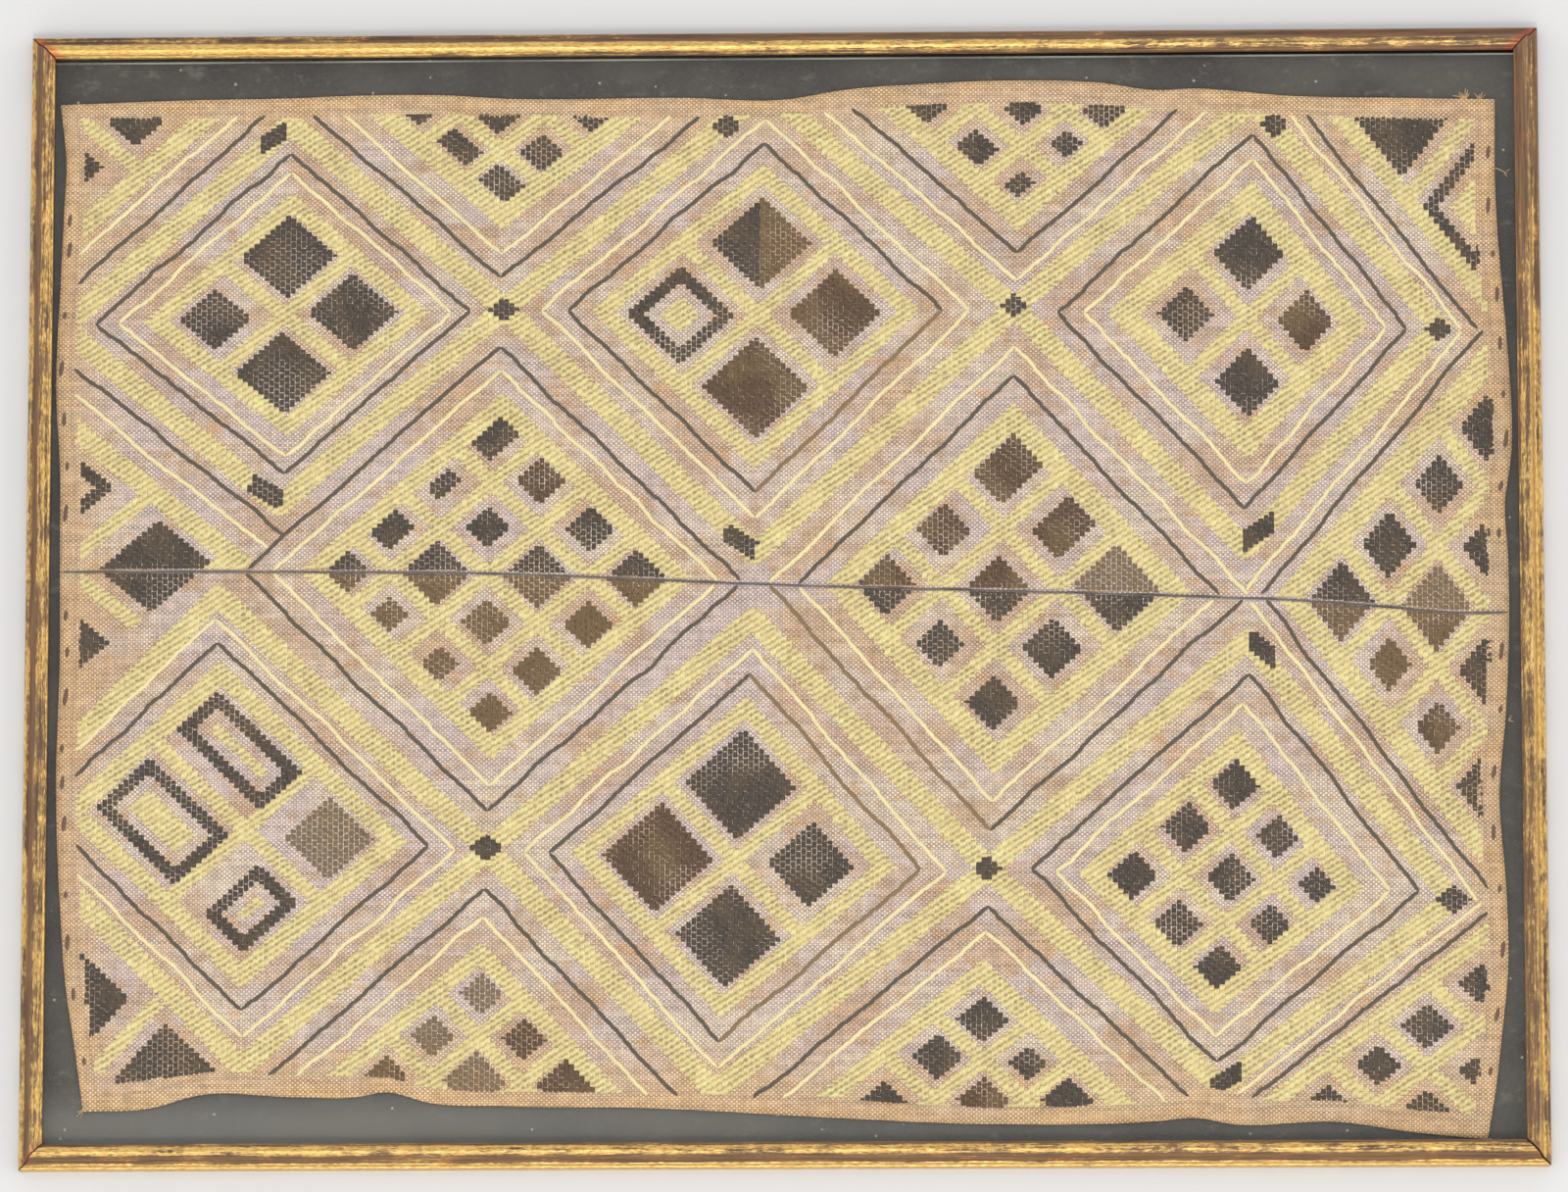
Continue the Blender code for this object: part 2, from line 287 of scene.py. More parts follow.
def cloth_top(x, y):
    """The cloth's upper surface: field plus low cockles that die out at the seam, and a step up on to the hems."""
    seam_off = np.abs(y - eased(SEAM, x))
    wave = np.sin(0.031 * x + 0.009 * y + 0.6) + np.sin(0.017 * x - 0.026 * y + 1.9)
    field = COCKLE * np.minimum(1.0, seam_off / COCKLE_EASE) * (wave / 2) ** 2
    hem = 1 - smooth(-0.9, 0.4, hem_depth(x, y))
    pucker = 0.10 * ripple(x, y, 5, 14.0) - 0.10
    ridge = 0.22 * np.exp(-(((seam_off - 1.6) / 1.1) ** 2)) - 0.25 * np.exp(-((seam_off / 0.7) ** 2))
    return FIELD_TOP + (1 - hem) * (field + ridge) + hem * (HEM_TOP - FIELD_TOP + pucker)


def corners(row):
    """The outer line's corners as an array."""
    return np.array((row.top, row.right, row.bottom, row.left), float)


def frame_corners(row):
    """The yellow frame's outer corners: the lozenge scaled about its middle, then shifted."""
    outer = corners(row)
    middle = outer.mean(axis=0)
    return middle + np.array(row.shift) + row.frame * (outer - middle)


def own_place(figure, x, y):
    """The a and b of places in a four-sided figure. The bilinear map is inverted with six Newton steps."""
    top, right, bottom, left = figure
    middle = figure.mean(axis=0)
    along_a = (bottom + right - top - left) / 4
    along_b = (top + right - left - bottom) / 4
    twist = (right + left - top - bottom) / 4
    a = np.zeros(np.shape(x))
    b = np.zeros(np.shape(x))
    for _ in range(6):
        miss_x = middle[0] + along_a[0] * a + along_b[0] * b + twist[0] * a * b - x
        miss_y = middle[1] + along_a[1] * a + along_b[1] * b + twist[1] * a * b - y
        ax, ay = along_a[0] + twist[0] * b, along_a[1] + twist[1] * b
        bx, by = along_b[0] + twist[0] * a, along_b[1] + twist[1] * a
        det = ax * by - ay * bx
        det = np.where(np.abs(det) < 1.0, 1.0, det)
        a = np.clip(a - (miss_x * by - miss_y * bx) / det, -6, 6)
        b = np.clip(b - (ax * miss_y - ay * miss_x) / det, -6, 6)
    return a, b


def side_lengths(figure):
    """Millimetres for one unit of a and of b, measured square to the lozenge's sides and along them."""
    top, right, bottom, left = figure
    along_a = (bottom + right - top - left) / 4
    along_b = (top + right - left - bottom) / 4
    cross = abs(along_a[0] * along_b[1] - along_a[1] * along_b[0])
    size_a, size_b = np.hypot(*along_a), np.hypot(*along_b)
    return cross / size_b, cross / size_a, size_a, size_b


def line_distance(x, y, start, end):
    """Distance from places to a straight piece of line."""
    run = np.subtract(end, start).astype(float)
    t = np.clip(((x - start[0]) * run[0] + (y - start[1]) * run[1]) / run.dot(run), 0, 1)
    return np.hypot(x - start[0] - t * run[0], y - start[1] - t * run[1])


def motif(token, x, da, db, below, codes, inside):
    """Writes one charted motif into the codes, where the larger of |da| / half side a and |db| / half side b is
    under 1. da and db are distances from its centre along a and b."""
    letters = token.rstrip("0123456789x")
    size_a, size_b = (float(v) + MOTIF_GAIN for v in token[len(letters):].split("x"))
    spread = np.maximum(np.abs(da) / size_a, np.abs(db) / size_b)
    here = inside & (spread < 1)
    if letters == "r":
        wall = np.minimum(size_a - np.abs(da), size_b - np.abs(db))
        codes[here & (wall < RING_WALL)] = 2
        short = min(size_a, size_b)
        core = max(short - RING_CORE, SMALLEST_CORE)
        grow_a = core + size_a - short
        grow_b = core + size_b - short
        codes[here & (np.abs(da) < grow_a) & (np.abs(db) < grow_b)] = 1
        return
    if letters == "s":
        codes[here] = np.where(x[here] < x[here].mean(), PILE_CODES.index("k"), PILE_CODES.index("o"))
        return
    codes[here & ~below] = PILE_CODES.index(letters[0])
    codes[here & below] = PILE_CODES.index(letters[-1])


def inner_field(row, x, y, below, inside, codes):
    """The frame, the bars and the motifs of one lozenge, where inside is true."""
    figure = frame_corners(row)
    a, b = own_place(figure, x, y)
    norm = np.maximum(np.abs(a), np.abs(b))
    square_a, square_b, size_a, size_b = side_lengths(figure)
    field_end = row.inside - FRAME_GAIN
    content = inside & (norm < field_end)
    for marks, value, length in ((row.across, a, square_a), (row.down, b, square_b)):
        for first, second in zip(marks, marks[1:]):
            codes[content & (np.abs(value - (first + second) / 2) * length < BAR_HALF)] = 1
    for i, line in enumerate(row.chart):
        for j, token in enumerate(line.split()):
            if token != "-":
                motif(token, x, (a - row.across[i]) * size_a, (b - row.down[j]) * size_b, below, codes, content)
    framed = np.where(below, bool(row.lower), bool(row.upper))
    codes[inside & framed & (norm >= field_end) & (norm < 1)] = 1


def owners(x, y, below):
    """Which lozenge each place belongs to, by number; -1 on the bands between them."""
    owner = np.full(x.shape, -1)
    for number, row in enumerate(LOZENGES):
        on_panel = np.where(below, row.lower is not None, row.upper is not None)
        a, b = own_place(corners(row), x, y)
        near = (np.maximum(np.abs(a), np.abs(b)) < 1.0) & (y > row.reach[0]) & (y < row.reach[1])
        owner[(owner < 0) & on_panel & near] = number
    return owner


def pile_field(x, y):
    """The pile's colour code at each place: an index into PILE_CODES, 0 for bare ground."""
    codes = np.zeros(x.shape, int)
    below = y < eased(SEAM, x)
    owner = owners(x, y, below)
    for number, row in enumerate(LOZENGES):
        inner_field(row, x, y, below, owner == number, codes)
    for side, quads in BANDS.items():
        on_panel = below if side == "lower" else ~below
        for quad in quads:
            distance = np.min([line_distance(x, y, quad[k], quad[k - 1]) for k in range(4)], axis=0)
            codes[on_panel & (distance < BAND_HALF)] = 1
    for place_x, place_y, half_x, half_y, lean in KNOTS:
        dy = y - place_y
        dx = x - place_x - lean * dy
        codes[np.abs(dx) / half_x + np.abs(dy) / half_y < 1.15] = 2
    codes[hem_depth(x, y) < HEM_CLEAR] = 0
    codes[np.abs(y - eased(SEAM, x)) < SEAM_CLEAR] = 0
    return codes


def new_piece(name, points, faces, tints=None, soft=True):
    """A mesh object at the origin, from millimetres. tints are a linear colour for each point."""
    mesh = bpy.data.meshes.new(name)
    mesh.from_pydata((np.asarray(points) * MM).tolist(), [], faces)
    if tints is not None:
        layer = mesh.attributes.new("tint", "FLOAT_COLOR", "POINT")
        layer.data.foreach_set("color", np.column_stack((tints, np.ones(len(tints)))).ravel())
    if soft:
        mesh.shade_smooth()
    piece = bpy.data.objects.new(name, mesh)
    bpy.context.scene.collection.objects.link(piece)
    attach(piece, "root")
    return piece


def sheet_faces(rows, columns):
    """Faces of a closed sheet whose upper grid comes first and lower grid second, rows by columns each."""
    index = np.arange(rows * columns).reshape(rows, columns)
    upper = np.stack((index[:-1, :-1], index[:-1, 1:], index[1:, 1:], index[1:, :-1]), axis=-1).reshape(-1, 4)
    lower = upper[:, ::-1] + rows * columns
    rim = np.concatenate((index[0, :-1], index[:-1, -1], index[-1, :0:-1], index[:0:-1, 0]))
    after = np.roll(rim, -1)
    walls = np.stack((rim, rim + rows * columns, after + rows * columns, after), axis=-1)
    return np.concatenate((upper, lower, walls)).tolist()


def stations(total, step, start_ease, end_ease):
    """Distances across a panel, evenly spaced but with a few close together at eased ends for a rolled edge."""
    close = np.array((0.0, 0.25, 0.7, 1.4))
    first = close if start_ease else np.array((0.0,))
    last = total - (close[::-1] if end_ease else np.array((0.0,)))
    middle = np.linspace(first[-1], last[0], int(total / step))[1:-1]
    return np.concatenate((first, middle, last))


def cloth_panel(name, hem, side):
    """A panel as a closed sheet: rows run evenly from its wavy hem to the seam, columns from its left edge to its
    right one, and its rim is rolled down. The point attribute rim is the distance from the hems in millimetres."""
    columns = stations(2 * CLOTH_REACH, 3.0, True, True)
    rows = stations(PANEL_HEIGHT, 3.0, True, True)
    u, v = np.meshgrid(columns, rows)
    x = u - CLOTH_REACH
    seam = eased(SEAM, x) + side * SEAM_GAP / 2
    outer = eased(hem, x)
    y = outer + (seam - outer) * v / PANEL_HEIGHT
    left, right = eased(LEFT_EDGE, y), eased(RIGHT_EDGE, y)
    x = left + (right - left) * u / (2 * CLOTH_REACH)
    off_edge = np.minimum(np.minimum(u, 2 * CLOTH_REACH - u), np.minimum(v, PANEL_HEIGHT - v))
    rolled = 1 - smooth(0.0, 1.4, off_edge)
    high = cloth_top(x, y) - 0.7 * rolled
    low = np.full(x.shape, CLOTH_BASE) + 0.3 * rolled
    points = np.concatenate([np.column_stack((x.ravel(), y.ravel(), z.ravel())) for z in (high, low)])
    faces = sheet_faces(*x.shape)
    if side > 0:
        faces = [face[::-1] for face in faces]
    piece = new_piece(name, points, faces)
    rim = np.minimum(u, 2 * CLOTH_REACH - u)
    rim = np.minimum(rim, v).ravel()
    layer = piece.data.attributes.new("rim", "FLOAT", "POINT")
    layer.data.foreach_set("value", np.concatenate((rim, rim)))
    return piece


# One stitch of cut pile: a low cushion whose cut ends splay to both sides of a notch. Each end has five points,
# then comes the notch's inner point, and four points cross the middle. The columns are shares of half a stitch
# along and across, of its height, and of the notch colour in yellow and in dark pile: in yellow pile that colour
# is painted shade in the slot over the browner ground there, in dark pile it is the pale ground.
TUFT_ALONG = np.array((-1.02, -1.0, -0.98, -1.0, -1.02, -0.5, 0, 0, 0, 0, 0.5, 1.02, 1.0, 0.98, 1.0, 1.02))
TUFT_ACROSS = np.array((-0.96, -0.34, 0, 0.34, 0.96, 0, -1.08, -0.5, 0.5, 1.08, 0, -0.96, -0.34, 0, 0.34, 0.96))
TUFT_UP = np.array((0.45, 0.85, 0.5, 0.85, 0.45, 0.8, 0.55, 1, 1, 0.55, 0.8, 0.45, 0.85, 0.5, 0.85, 0.45))
YELLOW_SLOT_SHADE = np.array((0, 0.65, 1, 0.65, 0, 0.4, 0, 0, 0, 0, 0.4, 0, 0.65, 1, 0.65, 0))
DARK_NOTCH = np.array((0, 0, 0.8, 0, 0, 0, 0, 0, 0, 0, 0, 0, 0, 0.8, 0, 0))
TUFT_QUADS = ((0, 1, 7, 6), (3, 4, 9, 8), (6, 7, 12, 11), (8, 9, 15, 14))
TUFT_TRIANGLES = (
    (1, 5, 7), (1, 2, 5), (2, 3, 5), (5, 8, 7), (3, 8, 5),
    (7, 10, 12), (10, 13, 12), (10, 14, 13), (7, 8, 10), (8, 14, 10),
)
TUFT_BASE = ((0, 6, 11, 12, 13, 14, 15, 9, 4, 3, 2, 1),)
TUFT_POINTS = len(TUFT_ALONG)


def stitches():
    """Every pile stitch as columns x, y, half length, code. Each column of the field is cut where its colour
    changes and along a brick lattice, so that stitches start at a band's edge and stagger inside it."""
    found = []
    count = int(2 * PILE_REACH / PILE_COLUMN)
    xs = (np.arange(count) - count / 2 + 0.5) * PILE_COLUMN
    ys = np.arange(PILE_LOW, PILE_HIGH, PILE_STEP)
    grid_x, grid_y = np.meshgrid(xs, ys, indexing="ij")
    grid_x = grid_x + 0.35 * ripple(grid_x, grid_y, 3, 90.0)
    field = pile_field(grid_x, grid_y)
    for k in range(count):
        codes = field[k]
        turns = np.flatnonzero(np.diff(codes)) + 1
        for start, end in zip(np.r_[0, turns], np.r_[turns, len(ys)]):
            if codes[start] == 0 or (end - start) * PILE_STEP < SHORTEST_STITCH:
                continue
            low, high = ys[start], ys[end - 1] + PILE_STEP
            offset = PILE_ROW / 2 * (k % 2)
            first = math.ceil((low + SHORTEST_STITCH - offset) / PILE_ROW)
            last = math.floor((high - SHORTEST_STITCH - offset) / PILE_ROW)
            cuts = [low] + [m * PILE_ROW + offset for m in range(first, last + 1)] + [high]
            for a, b in zip(cuts, cuts[1:]):
                middle = (start + end) // 2
                found.append((grid_x[k, middle], (a + b) / 2, (b - a) / 2, codes[start]))
    return np.array(found)


def tufts(name, rows, seed):
    """One mesh of many stitches: each cushion point is the stitch's middle plus its shares along and across,
    leant, jittered and lifted on to the cloth. Between yellow stitches the notches are dark slots, painted shade
    over the browner ground that shows there, and between dark ones pale dots. The cushion's low points are painted
    slightly darker as shade."""
    rng = np.random.default_rng(seed)
    count = len(rows)
    x, y, half, code = rows.T
    dark = (code > 1)[:, None]
    open_dark = np.where(code == 5, 1.0, smooth(-0.5, 0.5, ripple(x, y, 14, 45.0)) * 0.7 + 0.2)
    open_yellow = smooth(-0.7, 0.4, ripple(x, y, 15, 26.0)) * 0.5 + 0.5
    across_gap = np.where(code > 1, 0.15 * open_dark, 0.02)
    along_gap = np.where(code > 1, 0.12 * open_dark, 0.08 * open_yellow)
    half_across = PILE_COLUMN / 2 * rng.uniform(0.94, 1.05, count) * (1 - across_gap)
    half_along = half * rng.uniform(0.97, 1.04, count) * (1 - along_gap)
    lean = rng.normal(0, 0.04, count)
    across = TUFT_ACROSS * half_across[:, None] + rng.normal(0, 0.05, (count, TUFT_POINTS))
    along = TUFT_ALONG * half_along[:, None] + rng.normal(0, 0.07, (count, TUFT_POINTS))
    px = x[:, None] + across + lean[:, None] * along
    py = y[:, None] + along
    height = PILE_HEIGHT * rng.uniform(0.75, 1.0, (count, 1)) * rng.uniform(0.85, 1.08, (count, TUFT_POINTS))
    pz = cloth_top(px, py) - PILE_SINK + TUFT_UP * height
    points = np.stack((px, py, pz), axis=-1).reshape(-1, 3)
    base = np.array([TONES[PILE_CODES[int(c)]] for c in code])
    share = np.select((code == 3, code == 2), (0.8, 0.25), 0.0)[:, None]
    brown = smooth(-0.1, 0.35, ripple(x, y, 6, 22.0))[:, None] * share
    base = base + brown * (np.array(TONES["o"]) - base)
    shade = rng.normal(1.0, 0.05, (count, 1)) + 0.05 * ripple(x, y, 8, 60.0)[:, None]
    # painted shade: the cushion's low points are made 2% darker
    foot_shade = np.where(TUFT_UP > 0.6, 1.0, 0.98)
    tints = (base * shade)[:, None, :] * foot_shade[:, None]
    # the slot tone is painted shade; the dot tone is the pale ground between dark stitches
    dot_and_slot_shade_tone = np.where(dark[:, :, None], np.array(TONES["dot"]), np.array(TONES["slot"]))
    clear = np.where(code > 1, open_dark, open_yellow)[:, None]
    dot_and_slot_shade = np.where(dark, DARK_NOTCH, YELLOW_SLOT_SHADE) * clear
    dot_and_slot_shade = (dot_and_slot_shade * rng.uniform(0.5, 1.0, (count, 1)))[:, :, None]
    tints = tints + dot_and_slot_shade * (dot_and_slot_shade_tone - tints)
    start = (np.arange(count) * TUFT_POINTS)[:, None]
    faces = []
    for group in (TUFT_QUADS, TUFT_TRIANGLES, TUFT_BASE):
        for face in group:
            faces += (np.array(face) + start).tolist()
    return new_piece(name, points, faces, np.clip(tints, 0, 1).reshape(-1, 3), soft=False)


def thread(path, half_width, height, stitch, phase):
    """A stem-stitched line: a closed six-sided tube along a path. Width and side shift go through one saw-tooth
    for each stitch, so that the stitches overlap like a thin rope."""
    run = np.gradient(path[:, :2], axis=0)
    run /= np.maximum(np.hypot(run[:, 0], run[:, 1]), 1e-9)[:, None]
    square = np.column_stack((-run[:, 1], run[:, 0]))
    along = np.concatenate(([0], np.cumsum(np.hypot(*np.diff(path[:, :2], axis=0).T))))
    tooth = (along / stitch + phase) % 1.0
    width = half_width * (0.78 + 0.22 * np.sin(math.pi * tooth))
    shift = half_width * 0.35 * (tooth - 0.5)
    taper = np.minimum(1.0, np.minimum(along, along[-1] - along) / (2 * half_width) + 0.25)
    angles = np.radians((0, 60, 120, 180, 240, 300))
    side = np.cos(angles)[None, :] * (width * taper)[:, None] + shift[:, None]
    rise = height * taper * (0.8 + 0.2 * np.sin(math.pi * tooth))
    lift = np.maximum(np.sin(angles), -0.3)[None, :] * rise[:, None]
    x = path[:, 0:1] + square[:, 0:1] * side
    y = path[:, 1:2] + square[:, 1:2] * side
    z = path[:, 2:3] + lift
    rings = len(path)
    index = np.arange(rings * 6).reshape(rings, 6)
    after = np.roll(index, -1, axis=1)
    walls = np.stack((index[:-1], index[1:], after[1:], after[:-1]), axis=-1).reshape(-1, 4)
    faces = walls.tolist() + [index[0].tolist(), index[-1][::-1].tolist()]
    return np.stack((x, y, z), axis=-1).reshape(-1, 3), faces


def gather(name, strands):
    """Several closed tubes as one piece. Each strand is its points, its faces and its colour."""
    points, faces, tints, start = [], [], [], 0
    for these, own, colour in strands:
        points.append(these)
        faces += [[v + start for v in face] for face in own]
        colour = np.asarray(colour, float)
        tints.append(colour if colour.ndim == 2 else np.tile(colour, (len(these), 1)))
        start += len(these)
    return new_piece(name, np.concatenate(points), faces, np.concatenate(tints))


SIDES = ("UL", "UR", "LR", "LL")


def lozenge_lines(below_seam):
    """The stem-stitched lines of one panel: each lozenge's outer and inner line, side by side, cut where another
    lozenge, the seam or a hem comes first."""
    strands = []
    for number, row in enumerate(LOZENGES):
        names = row.lower if below_seam else row.upper
        if not names:
            continue
        outer = corners(row)
        inner = outer + row.line * (frame_corners(row) - outer)
        for kind, quad in zip(names.split(), (outer, inner)):
            for k, side in enumerate(SIDES):
                strands += side_line(number, row, kind, side, quad[k - 1], quad[k], below_seam)
    return strands


def side_line(number, row, kind, side, start, end, below_seam):
    """One side of a line, evenly sampled with a hand's wobble square to it, as the stretches that show."""
    length = math.dist(start, end)
    t = np.linspace(0, 1, max(int(length / LINE_STEP), 8))
    square = np.array((start[1] - end[1], end[0] - start[0])) / length
    seed = number * 31 + SIDES.index(side) * 7 + (3 if kind == "cream" else 0)
    wobble = 1.1 * ripple(t * length, 0 * t, seed, 40.0) + 0.45 * ripple(t * length, 0 * t, seed + 1, 13.0)
    wobble = wobble * np.minimum(1, np.minimum(t, 1 - t) * 14)
    x = start[0] + (end[0] - start[0]) * t + square[0] * wobble
    y = start[1] + (end[1] - start[1]) * t + square[1] * wobble
    seam_off = y - eased(SEAM, x)
    below = seam_off < 0
    owner = owners(x, y, below)
    shows = (below == below_seam) & (np.abs(seam_off) > 0.6) & (hem_depth(x, y) > -0.4)
    shows &= (y > row.reach[0]) & (y < row.reach[1])
    shows &= (owner < 0) | (owner >= number)
    colour = TONES["faded" if kind == "dark" and side in row.browned else kind]
    path = np.column_stack((x, y, cloth_top(x, y) + 0.05))
    turns = np.flatnonzero(np.diff(shows.astype(int))) + 1
    found = []
    for first, last in zip(np.r_[0, turns], np.r_[turns, len(t)]):
        if shows[first] and last - first > 3:
            half = CREAM_HALF if kind == "cream" else DARK_HALF
            points, faces = thread(path[first:last], half, LINE_HEIGHT, LINE_STITCH, seed * 0.37)
            rng = np.random.default_rng(seed)
            shade = 1 + 0.07 * ripple(points[:, 0], points[:, 1], seed, 20.0) + rng.normal(0, 0.03, len(points))
            found.append((points, faces, np.array(colour) * shade[:, None]))
    return found


def seam_thread():
    """The joining thread: slanting stitches that dip into the seam, along its whole length."""
    x = np.arange(-333, 332, 0.8)
    y = eased(SEAM, x) + 0.35 * ripple(x, 0 * x, 21, 16.0)
    z = FIELD_TOP - 0.04 + 0.16 * np.sin(x * 2 * math.pi / SEAM_STITCH) + 0.10 * ripple(x, 0 * x, 22, 40.0)
    points, faces = thread(np.column_stack((x, y, z)), SEAM_HALF, SEAM_HEIGHT, SEAM_STITCH, 0.0)
    shade = 1 + 0.30 * ripple(points[:, 0], points[:, 1], 4, 24.0)
    return gather("seam_thread", [(points, faces, np.array(TONES["seam"]) * shade[:, None])])


# Running stitches down the side hems. Columns: side, the stitches' middles.
SIDE_STITCHES = (
    ("left", (178, 164, 133, 108, 84, 62, 40, -8, -25, -46, -70, -86, -105, -138, -160, -184, -215)),
    ("right", (206, 181, 158, 139, 116, 92, 71, 49, 27, -28, -55, -84, -112, -138, -166, -196, -222)),
)


def side_stitches():
    """Short flat stitches of brown fibre that hold the side hems down."""
    strands = []
    for side, places in SIDE_STITCHES:
        for number, place in enumerate(places):
            half = 3.0 + 1.2 * math.sin(number * 2.3)
            y = np.linspace(place - half, place + half, 7)
            edge = eased(LEFT_EDGE if side == "left" else RIGHT_EDGE, y)
            inwards = 1 if side == "left" else -1
            x = edge + inwards * (3.1 + 0.5 * math.sin(number * 1.7)) + 0.12 * (y - place)
            z = cloth_top(x, y) + 0.03
            points, faces = thread(np.column_stack((x, y, z)), 0.95, 0.22, ONE_STITCH, 0.5)
            strands.append((points, faces, TONES["stitch"]))
    return gather("side_stitches", strands)


# Frayed ends. Columns: root, direction in degrees, length, bend in degrees, how many, spread in degrees
FRAYS = (
    (316.0, 231.0, 95, 5.6, 25, 9, 120),
    (322.5, 231.0, 70, 4.4, 20, 5, 80),
    (328.5, 199.0, -14, 11.5, -14, 1, 0),
    (333.6, 197.4, -64, 3.4, 10, 1, 0),
    (334.6, 197.0, 24, 3.0, 10, 1, 0),
    (-320.0, -237.0, 215, 5.0, 15, 3, 40),
    (-334.6, 100.0, 190, 3.5, 20, 3, 50),
    (321.6, -252.5, -60, 4.0, 20, 4, 60),
    (332.6, -60.0, 10, 3.0, 25, 3, 60),
)


def frays():
    """Loose fibre ends at the cloth's edge: thin arcs that fan out on the board."""
    strands = []
    rng = np.random.default_rng(12)
    for root_x, root_y, heading, length, bend, count, spread in FRAYS:
        for k in range(count):
            share = k / max(count - 1, 1) - 0.5
            own = length * rng.uniform(0.6, 1.1)
            t = np.linspace(0, 1, 9)
            angle = np.radians(heading + spread * share + bend * rng.uniform(0.4, 1.6) * t)
            x = root_x + np.cumsum(np.cos(angle)) * own / 9
            y = root_y + np.cumsum(np.sin(angle)) * own / 9
            z = 6.7 - 0.9 * smooth(0.0, 1.0, t) + 0.1 * share
            points, faces = thread(np.column_stack((x, y, z)), 0.20, 0.16, ONE_STITCH, 0.5)
            strands.append((points, faces, np.array(TONES["fray"]) * rng.uniform(0.75, 1.1)))
    return gather("frayed_ends", strands)


class Finish:
    """A procedural material: node() adds one node and returns it, sums and blends are short forms of it."""

    def __init__(self, name):
        self.material = bpy.data.materials.new(name)
        self.material.use_nodes = True
        self.tree = self.material.node_tree
        self.shader = self.tree.nodes["Principled BSDF"]
        self.output = self.tree.nodes["Material Output"]
        coordinates = self.node("ShaderNodeTexCoord")
        self.place = coordinates.outputs["Object"]

    def node(self, kind, inputs=(), **settings):
        made = self.tree.nodes.new(kind)
        for key, value in settings.items():
            setattr(made, key, value)
        for key, value in dict(inputs).items():
            self.feed(made.inputs[key], value)
        return made

    def feed(self, socket, value):
        if isinstance(value, bpy.types.NodeSocket):
            self.tree.links.new(value, socket)
        else:
            socket.default_value = value

    def math(self, operation, first, second=0.0, third=0.0):
        made = self.node("ShaderNodeMath", operation=operation)
        for socket, value in zip(made.inputs, (first, second, third)):
            self.feed(socket, value)
        return made.outputs[0]

    def ramp(self, value, low, high, start=0.0, end=1.0):
        """value from low to high becomes start to end, smoothly, and stays there beyond."""
        inputs = {"Value": value, "From Min": low, "From Max": high, "To Min": start, "To Max": end}
        return self.node("ShaderNodeMapRange", inputs, interpolation_type="SMOOTHSTEP").outputs[0]

    def blend(self, factor, first, second, mode="MIX"):
        made = self.node("ShaderNodeMix", data_type="RGBA", blend_type=mode)
        for socket, value in ((made.inputs[0], factor), (made.inputs[6], first), (made.inputs[7], second)):
            if isinstance(value, tuple):
                value = (*value, 1.0)
            self.feed(socket, value)
        return made.outputs[2]

    def scaled(self, sizes):
        """Object coordinates divided by sizes in millimetres, so that one unit is one repeat."""
        scale = tuple(1000.0 / s for s in sizes)
        return self.node("ShaderNodeMapping", {"Vector": self.place, "Scale": scale}).outputs[0]

    def noise(self, sizes, detail=3.0, roughness=0.5):
        inputs = {"Vector": self.scaled(sizes), "Scale": 1.0, "Detail": detail, "Roughness": roughness}
        return self.node("ShaderNodeTexNoise", inputs).outputs[0]

    def bump(self, height, strength, distance, normal=None):
        inputs = {"Height": height, "Strength": strength, "Distance": distance * MM}
        if normal is not None:
            inputs["Normal"] = normal
        return self.node("ShaderNodeBump", inputs).outputs[0]

    def grey(self, value):
        return self.node("ShaderNodeCombineColor", {0: value, 1: value, 2: value}).outputs[0]

    def attribute(self, name):
        return self.node("ShaderNodeAttribute", attribute_name=name)

    def surface(self, colour, roughness, normal=None, **values):
        if isinstance(colour, tuple):
            colour = (*colour, 1.0)
        self.feed(self.shader.inputs["Base Color"], colour)
        self.feed(self.shader.inputs["Roughness"], roughness)
        if normal is not None:
            self.feed(self.shader.inputs["Normal"], normal)
        for key, value in values.items():
            self.shader.inputs[key].default_value = value
        return self.material


